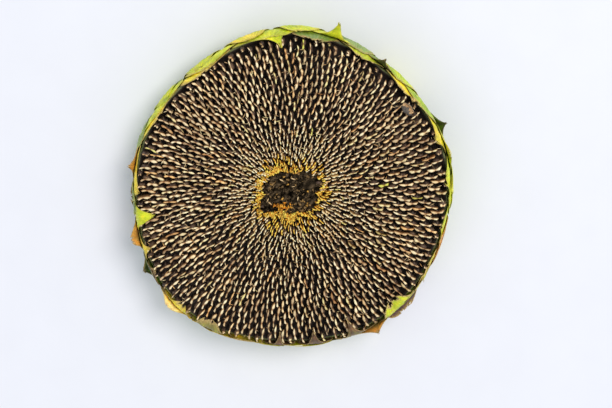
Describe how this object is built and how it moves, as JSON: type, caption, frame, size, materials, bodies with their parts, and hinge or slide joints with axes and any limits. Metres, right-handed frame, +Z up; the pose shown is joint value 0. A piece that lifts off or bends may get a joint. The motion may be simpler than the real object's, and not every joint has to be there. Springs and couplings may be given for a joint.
{
  "type": "sunflower seed head",
  "caption": "Ripe sunflower head cut from its stalk and lying on its back: a flat disc of dark seeds and straw chaff ringed by short green bracts.",
  "frame": {"origin": "middle of the bounding box, on the plane that the back of the head lies on", "axes": "+Z up out of the seed face, +X and +Y across the face"},
  "size_m": [0.2136, 0.2224, 0.0477],
  "materials": {
    "flesh": "matt green to straw skin with veins and short hairs",
    "stem": "ribbed green skin, cut across to a pale pith",
    "seeds": "near-black satin seeds under straw chaff",
    "dried_floret": "dry, dark brown and crumbly",
    "bract": "leathery green to yellow-green leaf with drying brown edges",
    "dried_leaf": "dry brown leaf"
  },
  "bodies": {
    "root": {"dried_scrap": "dried_leaf", "floret_tuft": "dried_floret", "inner_bract_01": "bract", "inner_bract_02": "bract", "inner_bract_03": "bract", "inner_bract_04": "bract", "inner_bract_05": "bract", "inner_bract_06": "bract", "inner_bract_07": "bract", "inner_bract_08": "bract", "inner_bract_09": "bract", "inner_bract_10": "bract", "inner_bract_11": "bract", "inner_bract_12": "bract", "inner_bract_13": "bract", "inner_bract_14": "bract", "inner_bract_15": "bract", "inner_bract_16": "bract", "inner_bract_17": "bract", "inner_bract_18": "bract", "inner_bract_19": "bract", "inner_bract_20": "bract", "inner_bract_21": "bract", "middle_bract_01": "bract", "middle_bract_02": "bract", "middle_bract_03": "bract", "middle_bract_04": "bract", "middle_bract_05": "bract", "middle_bract_06": "bract", "middle_bract_07": "bract", "middle_bract_08": "bract", "middle_bract_09": "bract", "middle_bract_10": "bract", "middle_bract_11": "bract", "middle_bract_12": "bract", "middle_bract_13": "bract", "middle_bract_14": "bract", "middle_bract_15": "bract", "middle_bract_16": "bract", "middle_bract_17": "bract", "middle_bract_18": "bract", "outer_bract_01": "bract", "outer_bract_02": "bract", "outer_bract_03": "bract", "outer_bract_04": "bract", "outer_bract_05": "bract", "outer_bract_06": "bract", "outer_bract_07": "bract", "outer_bract_08": "bract", "outer_bract_09": "bract", "outer_bract_10": "bract", "outer_bract_11": "bract", "outer_bract_12": "bract", "outer_bract_13": "bract", "outer_bract_14": "bract", "outer_bract_15": "bract", "outer_bract_16": "bract", "receptacle": "flesh", "seed_bed": "seeds", "stem_stub": "stem"}
  },
  "joints": []
}
